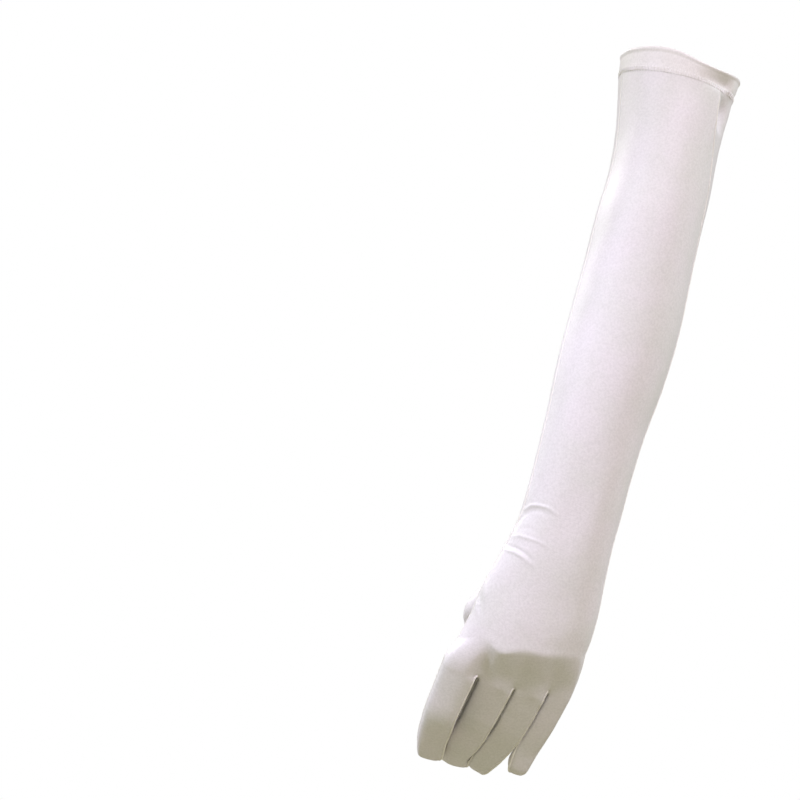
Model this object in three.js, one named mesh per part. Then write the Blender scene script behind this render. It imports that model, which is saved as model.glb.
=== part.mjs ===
// Elbow-length satin glove for a left hand, in the form that it has on an arm: a hollow of thin cloth,
// open at the top, with the fingers bent towards the palm and the thumb in front of it.
// Millimetres, +Z up. The origin is the centre of the arm opening, the back of the hand faces -Y and
// the thumb side is -X. The glove is cut as a back panel and a palm panel that reach from the hem to
// the fingertips, a gusset (fourchette) between each two fingers, a thumb and a turned hem.

import * as THREE from 'three';

// Driving dimensions
const WALL = 1;
const SEAM_GAP = 0.3;
const HEM_WIDTH = 12.8;
const HEM_PROUD = 0.6;
const HEM_DOUBLE = 1.8;
const SATIN_COLOUR = 0xece6ea;
const SATIN_ROUGHNESS = 0.42;

// Mesh divisions: columns run round a panel and rows run down the glove
const FINGER_COLUMNS = 4;
const PANEL_COLUMNS = 4 * FINGER_COLUMNS;
const KNUCKLE_ROWS = 4;
const THUMB_BASE_ROWS = 5;

// Fingers that lie against each other flatten there and keep this much room between them.
const FINGER_ROOM = 2.2;

// The slits between the fingers turn this share of the way that the fingers do from the front.
const SLIT_TURN = 0.6;

// The gussets reach this many degrees round each side of a finger, measured from its side.
const GUSSET_ANGLE = 33;

// The seam along the thumb side lies this many degrees round the sleeve, a little on its back.
const THUMB_SEAM = 165;

// Names each column of a table, so that a row reads as one section, bone or fold.
const table = (columns, rows) =>
  rows.map((row) => Object.fromEntries(columns.map((column, i) => [column, row[i]])));

// Sections of the sleeve and the hand. half is half the width, back and palm are the depths to either
// side of the centre, square is 2 for an ellipse and more for a flatter form. tilt is how many degrees
// the little-finger side hangs lower, pitch is how far the glove's direction turns away from the
// front, arch is how far both sides lie behind the middle, and seam is how many degrees the
// little-finger side seam lies round towards the back of the hand.
const SECTIONS = table(
  ['place', 'x', 'y', 'z', 'half', 'back', 'palm', 'square', 'tilt', 'pitch', 'arch', 'seam'],
  [
    ['arm opening', 0, 0, 0, 36.2, 38, 38, 2, 14.5, -7.6, 0, 46],
    ['hem stitches', -2.9, -2.5, -12.4, 34.9, 37.5, 37.5, 2, 14, -8, 0, 45],
    ['above elbow', -5.8, -8, -29.1, 32.8, 36.5, 36.5, 2, 10.5, -9, 0, 42],
    ['elbow', -9.8, -14, -50.1, 31, 36, 36, 2, 11, -10, 0, 32],
    ['below elbow', -14.4, -20, -72.1, 31, 35.5, 36, 2, 13, -11, 0, 25],
    ['upper forearm', -21.4, -27, -96.1, 31.6, 34.5, 36, 2, 14, -12, 0, 18],
    ['full forearm', -28.8, -34, -125.1, 31.9, 32.5, 35, 2, 15, -12, 0, 12],
    ['middle forearm', -36.6, -40.5, -155.1, 32.6, 30.5, 33, 2, 15, -11, 0, 8],
    ['lower forearm', -45.2, -46.5, -184.1, 31.8, 28, 29.5, 2, 15, -9, 0, 4],
    ['narrowing', -54.1, -51.5, -213.1, 29.4, 25, 25.5, 2.1, 16, -7, 0, 2],
    ['above wrist', -61.4, -55, -239.1, 28.5, 22.5, 22.5, 2.2, 16, -5, 0, 1],
    ['wrist', -67.1, -57.5, -260.1, 28.4, 20.5, 20.5, 2.3, 16, -4, 0.5, 0],
    ['below wrist', -72.4, -59.5, -277.1, 28.8, 19, 19.5, 2.4, 16, -4, 1, 0],
    ['heel of hand', -79.2, -61.5, -295.1, 31.4, 17.5, 20, 2.4, 15, -3, 2, 0],
    ['middle of palm', -85.9, -62.8, -313.1, 34.4, 16, 19, 2.4, 14, -2, 3, 0],
    ['below thumb', -91.4, -63.5, -329.1, 35.6, 15.4, 17.3, 2.5, 12, -2, 4, 0],
    ['knuckles', -97, -62.8, -342, 36.8, 15.3, 15.8, 2.5, 9, 6, 4.5, 0],
  ],
);

// Spacing of the rows down the sleeve and the hand: close at the wrist, where the folds are.
const ROW_SPACING = table(
  ['until', 'step'],
  [
    ['above wrist', 13],
    ['wrist', 7],
    ['heel of hand', 2.4],
    ['knuckles', 8],
  ],
);

// Each finger starts near the height where it parts from the next one. roll turns its back towards
// the little-finger side. half, back and palm are the section there, and parting is how far below
// the start the slit to the next finger begins on the back.
const FINGERS = table(
  ['name', 'x', 'y', 'z', 'roll', 'half', 'back', 'palm', 'parting'],
  [
    ['index', -131.6, -57.9, -352.8, -8, 11.4, 9.8, 9.6, 0],
    ['middle', -111.1, -54, -359.6, 0, 12, 9.8, 9.6, 0],
    ['ring', -91.4, -51, -364.9, 7, 10.4, 9.4, 9.2, -2.5],
    ['little', -74.8, -46, -368, 10, 8.1, 8.4, 8.4, 0],
  ],
);

// Bones of the fingers below that height, and of the thumb from its second joint. tilt turns the bone
// towards the thumb side, and pitch turns it from straight down towards the palm. half, back and palm
// are the section at its far end.
const BONES = table(
  ['finger', 'length', 'tilt', 'pitch', 'half', 'back', 'palm'],
  [
    ['index', 33.5, 22.5, 23, 10.4, 9.4, 9.2],
    ['index', 24, 17, 46.5, 9.4, 8.8, 8.6],
    ['index', 21, 8, 52, 7.6, 6.8, 6.8],
    ['middle', 34.8, 25, 33, 11.4, 9.2, 8.8],
    ['middle', 27, 25, 46, 10.4, 8.4, 8.2],
    ['middle', 21.5, 17, 54, 7.4, 6.8, 6.8],
    ['ring', 32, 25, 33, 10.2, 8.8, 8.4],
    ['ring', 24, 33, 38, 9, 8, 7.8],
    ['ring', 21, 39, 36, 6.8, 6.6, 6.6],
    ['little', 23, 24, 26, 7.6, 7.6, 7.4],
    ['little', 22, 28, 30, 7, 6.8, 6.6],
    ['little', 20, 25, 24, 6, 5.8, 5.8],
    ['thumb', 31, -8, 25, 9.8, 9, 9.4],
    ['thumb', 29, -14, 20, 8, 7, 7.4],
  ],
);
const THUMB = { name: 'thumb', x: -119.5, y: -31, z: -325, roll: -25, half: 10.6, back: 9.6, palm: 10.6 };

// The thumb is let into this window of the palm panel: columns from the thumb-side seam, and heights
// on the glove's centre line.
const THUMB_WINDOW = { firstColumn: 1, lastColumn: 6, top: -295, bottom: -331 };

// Folds of the cloth. along is the height on the centre line, around the angle of the fold's top (0
// little-finger side, 90 back, 180 thumb side, 270 palm). From there it reaches thumbReach degrees
// towards the thumb side and backReach the other way, and drops by the given millimetres at either
// end. depth is negative for a groove.
const FOLDS = table(
  ['along', 'around', 'thumbReach', 'backReach', 'thumbDrop', 'backDrop', 'width', 'depth'],
  [
    [-265.1, 139, 26, 46, 17, 4, 2.4, 1.6],
    [-270.1, 142, 22, 32, 15, 4, 2.6, -0.8],
    [-284.1, 138, 30, 40, 5, 2, 2.2, 1],
    [-290.7, 146, 26, 42, 2, 5, 2, -1.3],
    [-294.5, 146, 26, 42, 2, 5, 2.2, 0.9],
    [-28.1, 22, 12, 12, 0, 0, 12, -2.4],
  ],
);

const radians = THREE.MathUtils.degToRad;
const clamp = THREE.MathUtils.clamp;
const mix = THREE.MathUtils.lerp;
const signedPower = (value, power) => Math.sign(value) * Math.abs(value) ** power;
const smooth = (t) => t * t * (3 - 2 * t);
const point = ({ x, y, z }) => new THREE.Vector3(x, y, z);

// The directions of a section: down the glove, across towards the little finger, and out at the back.
function frameOf({ tilt, pitch, roll = 0 }) {
  const [t, p, r] = [tilt, pitch, roll].map(radians);
  const down = new THREE.Vector3(-Math.sin(t) * Math.cos(p), Math.sin(p), -Math.cos(t) * Math.cos(p));
  const level = new THREE.Vector3(Math.cos(t), 0, -Math.sin(t));
  const out = down.clone().cross(level);
  const across = level.clone().multiplyScalar(Math.cos(r)).addScaledVector(out, -Math.sin(r));
  out.multiplyScalar(Math.cos(r)).addScaledVector(level, Math.sin(r));
  return { down, across, out };
}

// The point of a section at an angle round it: 0 is the little-finger side and 90 the back.
function onSection(section, degrees, proud = 0) {
  const { across, out } = frameOf(section);
  const angle = radians(degrees);
  const power = 2 / (section.square ?? 2);
  const share = signedPower(Math.cos(angle), power);
  const depth = Math.sin(angle) > 0 ? section.back : section.palm;
  const rise = (depth + proud) * signedPower(Math.sin(angle), power) - (section.arch ?? 0) * share * share;
  return point(section)
    .addScaledVector(across, (section.half + proud) * share)
    .addScaledVector(out, rise);
}

// Smooth interpolation of every number of the rows of a table, which are at the given places.
function interpolate(rows, places, place) {
  let i = 0;
  while (i < rows.length - 2 && place > places[i + 1]) i += 1;
  const span = places[i + 1] - places[i];
  const t = (place - places[i]) / span;
  const slope = (key, k) => {
    const before = Math.max(k - 1, 0);
    const after = Math.min(k + 1, rows.length - 1);
    return (rows[after][key] - rows[before][key]) / (places[after] - places[before]);
  };
  const value = (key) => {
    const bend = slope(key, i) * span * t * (1 - t) ** 2 - slope(key, i + 1) * span * t * t * (1 - t);
    return mix(rows[i][key], rows[i + 1][key], smooth(t)) + bend;
  };
  const numbers = Object.keys(rows[i]).filter((key) => typeof rows[i][key] === 'number');
  return Object.fromEntries(numbers.map((key) => [key, value(key)]));
}

// Distances of the sections along the centre line, from the arm opening down
const sectionPlaces = [0];
for (let i = 1; i < SECTIONS.length; i += 1) {
  sectionPlaces.push(sectionPlaces[i - 1] + point(SECTIONS[i]).distanceTo(point(SECTIONS[i - 1])));
}
const placeOf = (name) => sectionPlaces[SECTIONS.findIndex((section) => section.place === name)];
const sectionAt = (place) => interpolate(SECTIONS, sectionPlaces, place);

// The vertices of the whole skin, which pieces share at their seams, and the faces of each piece
const vertices = [];
const faces = [];
const addVertex = (position) => vertices.push(position) - 1;
const addFace = (piece, ...corners) => faces.push({ piece, corners });

// Joins rows of vertices with faces. They face out where the rows run down and the columns run from
// the thumb side over the back of the hand; turned is for columns that run over the palm.
function addGrid(piece, rows, turned = false) {
  for (let r = 0; r < rows.length - 1; r += 1) {
    for (let c = 0; c < rows[r].length - 1; c += 1) {
      const corners = [rows[r][c], rows[r + 1][c], rows[r + 1][c + 1], rows[r][c + 1]];
      addFace(piece, ...(turned ? corners.reverse() : corners));
    }
  }
}

// How far the folds move the cloth out at a place on the sleeve or hand
function foldHeight(z, degrees) {
  return FOLDS.reduce((height, fold) => {
    const turn = ((degrees - fold.around + 540) % 360) - 180;
    const towardsThumb = turn > 0;
    const share = turn / (towardsThumb ? fold.thumbReach : fold.backReach);
    if (Math.abs(share) >= 1) return height;
    const drop = (towardsThumb ? fold.thumbDrop : fold.backDrop) * share * share;
    const off = (z - fold.along + drop) / fold.width;
    return height + fold.depth * Math.exp(-off * off) * (1 - share * share);
  }, 0);
}

// Angles of a panel's columns at one section. Down to the wrist they are spread evenly between the
// seams, and at the knuckles they line up with the fingers.
const FINGER_EDGES = [-1, -0.47, 0.06, 0.55, 1];
const EDGE_SHARES = {
  first: [0, 0.14, 0.42, 0.71, 1],
  middle: [0, 0.25, 0.5, 0.75, 1],
  last: [0, 0.29, 0.58, 0.86, 1],
};

function knuckleAngle(column, square) {
  const finger = Math.min(Math.floor(column / FINGER_COLUMNS), 3);
  const shares = EDGE_SHARES[finger === 0 ? 'first' : finger === 3 ? 'last' : 'middle'];
  const share = shares[column - finger * FINGER_COLUMNS];
  const across = mix(FINGER_EDGES[finger], FINGER_EDGES[finger + 1], share);
  return THREE.MathUtils.radToDeg(Math.acos(clamp(signedPower(across, square / 2), -1, 1)));
}

function columnAngle(side, column, place, section) {
  const fromWrist = clamp((place - placeOf('wrist')) / (placeOf('knuckles') - placeOf('wrist')), 0, 1);
  const back = mix(THUMB_SEAM, section.seam, column / PANEL_COLUMNS);
  const palm = mix(THUMB_SEAM, 360 + section.seam, column / PANEL_COLUMNS);
  const knuckle = knuckleAngle(column, section.square);
  return side === 'back'
    ? mix(back, knuckle, smooth(fromWrist))
    : mix(palm, 360 - knuckle, smooth(fromWrist));
}

// The places of the rows between the hem and the knuckles
const rowPlaces = [HEM_WIDTH];
for (const { until, step } of ROW_SPACING) {
  const from = rowPlaces.at(-1);
  const count = Math.round((placeOf(until) - from) / step);
  for (let i = 1; i <= count; i += 1) rowPlaces.push(mix(from, placeOf(until), i / count));
}

// How far below the last section each column of the back turns into the fingers, and over how long a
// stretch above it the rows give way to that line. The hollow between the first two knuckles begins
// higher than the knuckles do.
const KNUCKLE_LINE = [0, -1.5, -3.6, -3.2, -0.4, 1.6, 1.6, 0.2, -0.6, -0.4, 0.2, 0.2, 0, -0.4, 0, 0, 0];
const KNUCKLE_REACH = 14;

function bodyPoint(side, column, place) {
  const near = smooth(clamp((place - rowPlaces.at(-1)) / KNUCKLE_REACH + 1, 0, 1));
  const own = side === 'back' ? place + KNUCKLE_LINE[column] * near : place;
  const section = sectionAt(own);
  const angle = columnAngle(side, column, own, section);
  return onSection(section, angle, foldHeight(section.z, angle));
}

// A finger's centre line, walked in small steps while it turns from one bone into the next
const STEP = 0.5;
const JOINT_BLEND = 7;
const CAP_RATIO = 1.15;
const FINGER_SQUARE = 3;

// The seam round a fingertip is this share of the finger's width.
const TIP_WIDTH = 0.36;

function fingerLine(root) {
  const bones = BONES.filter((bone) => bone.finger === root.name);
  const ends = [];
  for (const bone of bones) ends.push((ends.at(-1) ?? 0) + bone.length);
  const total = ends.at(-1);
  const angleAt = (key, s) =>
    bones.reduce((angle, bone, i) => {
      if (i === 0) return bone[key];
      const t = clamp((s - ends[i - 1]) / (2 * JOINT_BLEND) + 0.5, 0, 1);
      return mix(angle, bone[key], smooth(t));
    }, 0);
  const line = [point(root)];
  for (let s = 0; s < total; s += STEP) {
    const { down } = frameOf({ tilt: angleAt('tilt', s), pitch: angleAt('pitch', s) });
    line.push(line.at(-1).clone().addScaledVector(down, STEP));
  }
  const capLength = CAP_RATIO * bones.at(-1).half;
  const sizes = [root, ...bones];
  const sizePlaces = [0, ...ends];
  const sizeRows = sizes.map(({ half, back, palm }) => ({ half, back, palm }));
  return {
    line,
    total,
    capLength,
    sectionAt(s) {
      const { x, y, z } = line[Math.round(s / STEP)];
      const size = interpolate(sizeRows, sizePlaces, s);
      const intoCap = clamp((s - total + capLength) / capLength, 0, 1);
      const round = Math.sqrt(1 - intoCap * intoCap);
      return {
        x,
        y,
        z,
        half: size.half * mix(TIP_WIDTH, 1, round),
        back: size.back * round,
        palm: size.palm * round,
        tilt: angleAt('tilt', s),
        pitch: angleAt('pitch', s),
        roll: root.roll,
        square: FINGER_SQUARE,
      };
    },
  };
}

// The places of the rings down a finger: one close below the parting, then evenly spaced ones, and
// closer ones over the round tip
const FIRST_RING = 3.2;
const SHAFT_RINGS = 7;
const CAP_SHARES = [0.4, 0.7, 0.9, 1];

function ringPlaces(line) {
  const shaft = line.total - line.capLength;
  const even = Array.from({ length: SHAFT_RINGS }, (_, i) =>
    mix(FIRST_RING, shaft, i / (SHAFT_RINGS - 1)),
  );
  return [...even, ...CAP_SHARES.map((share) => shaft + share * line.capLength)];
}

// Angles of a finger's columns on its back; the palm side has the same angles below 0.
function fingerAngles(finger) {
  const from = finger === 0 ? 180 : 180 - GUSSET_ANGLE;
  const to = finger === 3 ? 0 : GUSSET_ANGLE;
  return Array.from({ length: FINGER_COLUMNS + 1 }, (_, i) => mix(from, to, i / FINGER_COLUMNS));
}

const lines = FINGERS.map(fingerLine);
const thumbLine = fingerLine(THUMB);

// A point on a finger's side at a ring, at an angle above 0 for the back and below 0 for the palm
const fingerPoint = (line, s, degrees) => onSection(line.sectionAt(s), degrees);

// Moves a point of a finger back to its own side of the plane halfway to each finger beside it.
function besideNeighbours(finger, s, position) {
  const own = lines[finger].sectionAt(s);
  const centre = point(own);
  for (const neighbour of [finger - 1, finger + 1]) {
    if (!lines[neighbour]) continue;
    const reaches = lines[neighbour].line.map((spot) => spot.distanceTo(centre));
    const nearest = reaches.indexOf(Math.min(...reaches));
    const other = lines[neighbour].sectionAt(nearest * STEP);
    const towards = point(other).sub(centre).multiply(new THREE.Vector3(1, SLIT_TURN, 1));
    const limit = (towards.length() * own.half) / (own.half + other.half) - FINGER_ROOM / 2;
    towards.normalize();
    const excess = position.clone().sub(centre).dot(towards) - limit;
    if (excess > 0) position.addScaledVector(towards, -excess);
  }
  return position;
}

// The row where the fingers part. At each parting the two fingers share one vertex, which lies
// further down on the palm side than on the back.
const PARTING_DROP = { back: 0, gusset: 1.2, palm: 1.8 };

function partingPoint(finger, degrees, side) {
  const first = fingerPoint(lines[finger], 0, degrees);
  const second = fingerPoint(lines[finger + 1], 0, Math.sign(degrees || 1) * 180 - degrees);
  const { down } = frameOf(lines[finger].sectionAt(0));
  const drop = FINGERS[finger].parting + PARTING_DROP[side];
  return first.add(second).multiplyScalar(0.5).addScaledVector(down, drop);
}

function partingRow(side) {
  const sign = side === 'back' ? 1 : -1;
  const row = [];
  for (let column = 0; column <= PANEL_COLUMNS; column += 1) {
    const finger = Math.min(Math.floor(column / FINGER_COLUMNS), 3);
    const isParting = column % FINGER_COLUMNS === 0 && column > 0 && column < PANEL_COLUMNS;
    const angle = fingerAngles(finger)[column - finger * FINGER_COLUMNS];
    row.push(
      isParting
        ? partingPoint(finger - 1, sign * GUSSET_ANGLE, side)
        : fingerPoint(lines[finger], 0, sign * angle),
    );
  }
  return row;
}

// The direction of the fingers where they start, evened out from one to the next
function fingerWay(column) {
  const finger = Math.min(Math.floor(column / FINGER_COLUMNS), 3);
  const side = (column - finger * FINGER_COLUMNS) / FINGER_COLUMNS - 0.5;
  const other = clamp(finger + (side < 0 ? -1 : 1), 0, 3);
  const [own, beside] = [finger, other].map((k) => frameOf(lines[k].sectionAt(0)).down);
  return own.lerp(beside, Math.abs(side)).normalize();
}

// Rows of the hand that turn from the knuckles into the fingers. The bend is sharp at the knuckles.
const KNUCKLE_BEND = 0.35;

function knuckleRows(side, parting) {
  const last = rowPlaces.at(-1);
  const start = parting.map((_, column) => bodyPoint(side, column, last));
  const { down } = frameOf(sectionAt(last));
  return Array.from({ length: KNUCKLE_ROWS - 1 }, (_, i) => {
    const t = (i + 1) / KNUCKLE_ROWS;
    return parting.map((end, column) => {
      const reach = end.distanceTo(start[column]);
      return start[column]
        .clone()
        .lerp(end, smooth(t))
        .addScaledVector(down, reach * KNUCKLE_BEND * t * (1 - t) ** 2)
        .addScaledVector(fingerWay(column), -reach * t * t * (1 - t));
    });
  });
}

// One panel's rows down to the parting, with the seam vertices of the first panel used again
function panelRows(side, seams) {
  const parting = partingRow(side);
  const body = rowPlaces.map((place) =>
    Array.from({ length: PANEL_COLUMNS + 1 }, (_, column) => bodyPoint(side, column, place)),
  );
  return [...body, ...knuckleRows(side, parting), parting].map((row, r) =>
    row.map((position, column) => {
      const onSeam = column === 0 || column === PANEL_COLUMNS;
      return seams && onSeam ? seams[r][column] : addVertex(position);
    }),
  );
}

const backRows = panelRows('back');
const palmRows = panelRows('palm', backRows);

// The rings of each finger as vertices: the back and palm columns, the gusset's middle at both sides
// and the two edges that panels and gussets share. The last ring is the seam round the fingertip.
function fingerRings(finger) {
  const line = lines[finger];
  const angles = fingerAngles(finger);
  const places = ringPlaces(line);
  return places.map((s, ring) => {
    const atTip = ring === places.length - 1;
    const add = (angle) => addVertex(besideNeighbours(finger, s, fingerPoint(line, s, angle)));
    const back = angles.map(add);
    const palm = angles.map((angle, column) => {
      const outerSeam = (finger === 0 && column === 0) || (finger === 3 && column === FINGER_COLUMNS);
      return atTip || outerSeam ? back[column] : add(-angle);
    });
    const thumbSide = finger > 0 && !atTip ? add(180) : null;
    const littleSide = finger < 3 && !atTip ? add(0) : null;
    return { back, palm, thumbSide, littleSide };
  });
}

const rings = FINGERS.map((_, finger) => fingerRings(finger));

// The window that the thumb is let into, as rows and columns of the palm panel
const rowNear = (z) => {
  const away = rowPlaces.map((place) => Math.abs(sectionAt(place).z - z));
  return away.indexOf(Math.min(...away));
};
const windowTop = rowNear(THUMB_WINDOW.top);
const windowBottom = rowNear(THUMB_WINDOW.bottom);
const inWindow = (row, column) =>
  row >= windowTop &&
  row < windowBottom &&
  column >= THUMB_WINDOW.firstColumn &&
  column < THUMB_WINDOW.lastColumn;

function addPanels() {
  addGrid('back_panel', backRows);
  for (let r = 0; r < palmRows.length - 1; r += 1) {
    for (let c = 0; c < PANEL_COLUMNS; c += 1) {
      if (inWindow(r, c)) continue;
      addGrid('palm_panel', [palmRows[r].slice(c, c + 2), palmRows[r + 1].slice(c, c + 2)], true);
    }
  }
  FINGERS.forEach((_, finger) => {
    const from = finger * FINGER_COLUMNS;
    const root = (rows) => rows.at(-1).slice(from, from + FINGER_COLUMNS + 1);
    addGrid('back_panel', [root(backRows), ...rings[finger].map((ring) => ring.back)]);
    addGrid('palm_panel', [root(palmRows), ...rings[finger].map((ring) => ring.palm)], true);
  });
}

// A gusset runs up the side of one finger, round the parting and down the side of the next.
function addGusset(finger) {
  const piece = `gusset_${FINGERS[finger].name}_${FINGERS[finger + 1].name}`;
  const column = (finger + 1) * FINGER_COLUMNS;
  const middle = addVertex(partingPoint(finger, 0, 'gusset'));
  const parting = [backRows.at(-1)[column], middle, palmRows.at(-1)[column]];
  const up = rings[finger].map(({ back, palm, littleSide }) => [back.at(-1), littleSide, palm.at(-1)]);
  const down = rings[finger + 1].map(({ back, palm, thumbSide }) => [back[0], thumbSide, palm[0]]);
  const firstTip = up.pop()[0];
  const secondTip = down.pop()[0];
  const strip = [...up.reverse(), parting, ...down];
  for (let r = 0; r < strip.length - 1; r += 1) {
    for (let c = 0; c < 2; c += 1) {
      addFace(piece, strip[r][c], strip[r][c + 1], strip[r + 1][c + 1], strip[r + 1][c]);
    }
  }
  const [first, last] = [strip[0], strip.at(-1)];
  addFace(piece, firstTip, first[1], first[0]);
  addFace(piece, firstTip, first[2], first[1]);
  addFace(piece, secondTip, last[0], last[1]);
  addFace(piece, secondTip, last[1], last[2]);
}

function windowLoop() {
  const { firstColumn, lastColumn } = THUMB_WINDOW;
  const loop = [];
  for (let c = firstColumn; c < lastColumn; c += 1) loop.push([windowTop, c]);
  for (let r = windowTop; r < windowBottom; r += 1) loop.push([r, lastColumn]);
  for (let c = lastColumn; c > firstColumn; c -= 1) loop.push([windowBottom, c]);
  for (let r = windowBottom; r > windowTop; r -= 1) loop.push([r, firstColumn]);
  return loop;
}

// The point of the palm panel's surface at any row and column, whole or not
function palmPoint(row, column) {
  const [r, c] = [row, column].map(Math.floor);
  const place = mix(rowPlaces[r], rowPlaces[r + 1], row - r);
  const section = sectionAt(place);
  const [before, after] = [c, c + 1].map((k) => columnAngle('palm', k, place, section));
  return onSection(section, mix(before, after, column - c));
}

// Moves the edge of the window in at its corners, along the palm, so that the thumb's seam is round.
const WINDOW_ROUNDNESS = 0.75;

function roundWindow(loop) {
  const { firstColumn, lastColumn } = THUMB_WINDOW;
  const rows = (windowBottom - windowTop) / 2;
  const columns = (lastColumn - firstColumn) / 2;
  const drawnIn = (one, other) => one * Math.sqrt(1 - (WINDOW_ROUNDNESS * other * other) / 2);
  for (const [r, c] of loop) {
    const v = (r - windowTop) / rows - 1;
    const u = (c - firstColumn) / columns - 1;
    const row = windowTop + (drawnIn(v, u) + 1) * rows;
    const column = firstColumn + (drawnIn(u, v) + 1) * columns;
    vertices[palmRows[r][c]].copy(palmPoint(row, column));
  }
}

// The palm's normal at each vertex of the window's edge
function windowNormals(loop) {
  const middle = new THREE.Vector3();
  for (const vertex of loop) middle.addScaledVector(vertices[vertex], 1 / loop.length);
  return loop.map((vertex, k) => {
    const along = vertices[loop[(k + 1) % loop.length]].clone().sub(vertices[loop.at(k - 1)]);
    return middle.clone().sub(vertices[vertex]).cross(along).normalize();
  });
}

// The thumb leaves its window along the palm, turns down in front of it and closes at its tip. The
// first number is how far its base leans along the way to the thumb, and the second how much of its
// way off the palm that lean leaves out.
const THUMB_PULL = 1.2;
const THUMB_FLATNESS = 0.75;

function addThumb() {
  const edge = windowLoop();
  const loop = edge.map(([r, c]) => palmRows[r][c]);
  const count = loop.length;
  const normals = windowNormals(loop);
  roundWindow(edge);
  const sideShare = (windowBottom - windowTop) / count;
  const angles = loop.map((_, k) => 180 + 180 * sideShare + (360 * k) / count);
  const first = angles.map((angle) => fingerPoint(thumbLine, 0, angle));
  const { down } = frameOf(thumbLine.sectionAt(0));
  const rows = [loop];
  for (let i = 1; i < THUMB_BASE_ROWS; i += 1) {
    const t = i / THUMB_BASE_ROWS;
    rows.push(
      loop.map((vertex, k) => {
        const start = vertices[vertex];
        const chord = first[k].clone().sub(start);
        const lean = chord.clone().addScaledVector(normals[k], -chord.dot(normals[k]) * THUMB_FLATNESS);
        return addVertex(
          start
            .clone()
            .lerp(first[k], smooth(t))
            .addScaledVector(lean, THUMB_PULL * t * (1 - t) ** 2)
            .addScaledVector(down, -chord.length() * t * t * (1 - t)),
        );
      }),
    );
  }
  rows.push(first.map((position) => addVertex(position)));
  const places = ringPlaces(thumbLine).slice(0, -1);
  for (const s of places) rows.push(angles.map((angle) => addVertex(fingerPoint(thumbLine, s, angle))));
  const tip = addVertex(point(thumbLine.sectionAt(thumbLine.total)));
  const closed = rows.map((row) => [...row, row[0]]);
  addGrid('thumb', closed, true);
  const last = closed.at(-1);
  for (let k = 0; k < count; k += 1) addFace('thumb', last[k], last[k + 1], tip);
}

// Splits a face into triangles, a quadrilateral along its shorter diagonal.
function trianglesOf({ corners }) {
  if (corners.length === 3) return [corners];
  const [a, b, c, d] = corners;
  const straight = vertices[a].distanceTo(vertices[c]) <= vertices[b].distanceTo(vertices[d]);
  return straight
    ? [[a, b, c], [a, c, d]]
    : [[a, b, d], [b, c, d]];
}

const pieceTriangles = (piece) => faces.filter((face) => face.piece === piece).flatMap(trianglesOf);

// The normal of one piece's surface at each of its vertices, weighted by the corner of each triangle
function pieceNormals(piece) {
  const normals = new Map();
  for (const triangle of pieceTriangles(piece)) {
    const corners = triangle.map((vertex) => vertices[vertex]);
    const normal = new THREE.Triangle(...corners).getNormal(new THREE.Vector3());
    triangle.forEach((vertex, i) => {
      const one = corners[(i + 1) % 3].clone().sub(corners[i]);
      const other = corners[(i + 2) % 3].clone().sub(corners[i]);
      if (!normals.has(vertex)) normals.set(vertex, new THREE.Vector3());
      normals.get(vertex).addScaledVector(normal, one.angleTo(other));
    });
  }
  return normals;
}

// The normal of the skin at each vertex: at a seam it lies evenly between those of its pieces.
function skinNormals(pieces) {
  const sums = vertices.map(() => new THREE.Vector3());
  for (const piece of pieces) {
    for (const [vertex, normal] of pieceNormals(piece)) sums[vertex].add(normal.normalize());
  }
  return sums.map((sum) => sum.normalize());
}

// The edges that only one triangle of a piece has, each with the piece on its left
function openEdges(triangles) {
  const seen = new Set(triangles.flatMap(([a, b, c]) => [`${a} ${b}`, `${b} ${c}`, `${c} ${a}`]));
  return [...seen]
    .map((edge) => edge.split(' ').map(Number))
    .filter(([from, to]) => !seen.has(`${to} ${from}`));
}

// How far each vertex on a piece's edge moves into the piece, to leave half the gap at the seam
const MITRE_LIMIT = 3;

function seamShifts(edges, normals) {
  const shifts = new Map();
  for (const [from, to] of edges) {
    for (const vertex of [from, to]) {
      const along = vertices[to].clone().sub(vertices[from]);
      const inward = normals[vertex].clone().cross(along).normalize();
      shifts.set(vertex, (shifts.get(vertex) ?? new THREE.Vector3()).addScaledVector(inward, 0.5));
    }
  }
  for (const shift of shifts.values()) {
    const mitre = Math.min(1 / shift.length(), MITRE_LIMIT);
    shift.setLength((SEAM_GAP / 2) * mitre);
  }
  return shifts;
}

// The rim between the two layers at an edge. Its diagonal starts at the same vertex for both pieces of
// a seam, so that their rims have the same form.
const rimTriangles = (a, b, underA, underB, fromA) =>
  fromA ? [b, a, underB, a, underA, underB] : [b, a, underA, b, underA, underB];

// Gives a piece of the skin its thickness: an outer layer, an inner one and a rim round its edges.
function pieceGeometry(piece, normals) {
  const triangles = pieceTriangles(piece);
  const edges = openEdges(triangles);
  const shifts = seamShifts(edges, normals);
  const used = [...new Set(triangles.flat())];
  const slot = new Map(used.map((vertex, i) => [vertex, i]));
  const outer = used.map((vertex) => vertices[vertex].clone().add(shifts.get(vertex) ?? new THREE.Vector3()));
  const inner = used.map((vertex, i) => outer[i].clone().addScaledVector(normals[vertex], -WALL));
  const at = (vertex) => slot.get(vertex);
  const under = (vertex) => slot.get(vertex) + used.length;
  const index = [
    ...triangles.flatMap(([a, b, c]) => [at(a), at(b), at(c), under(c), under(b), under(a)]),
    ...edges.flatMap(([a, b]) => rimTriangles(at(a), at(b), under(a), under(b), a < b)),
  ];
  return new THREE.BufferGeometry().setFromPoints([...outer, ...inner]).setIndex(index);
}

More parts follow.
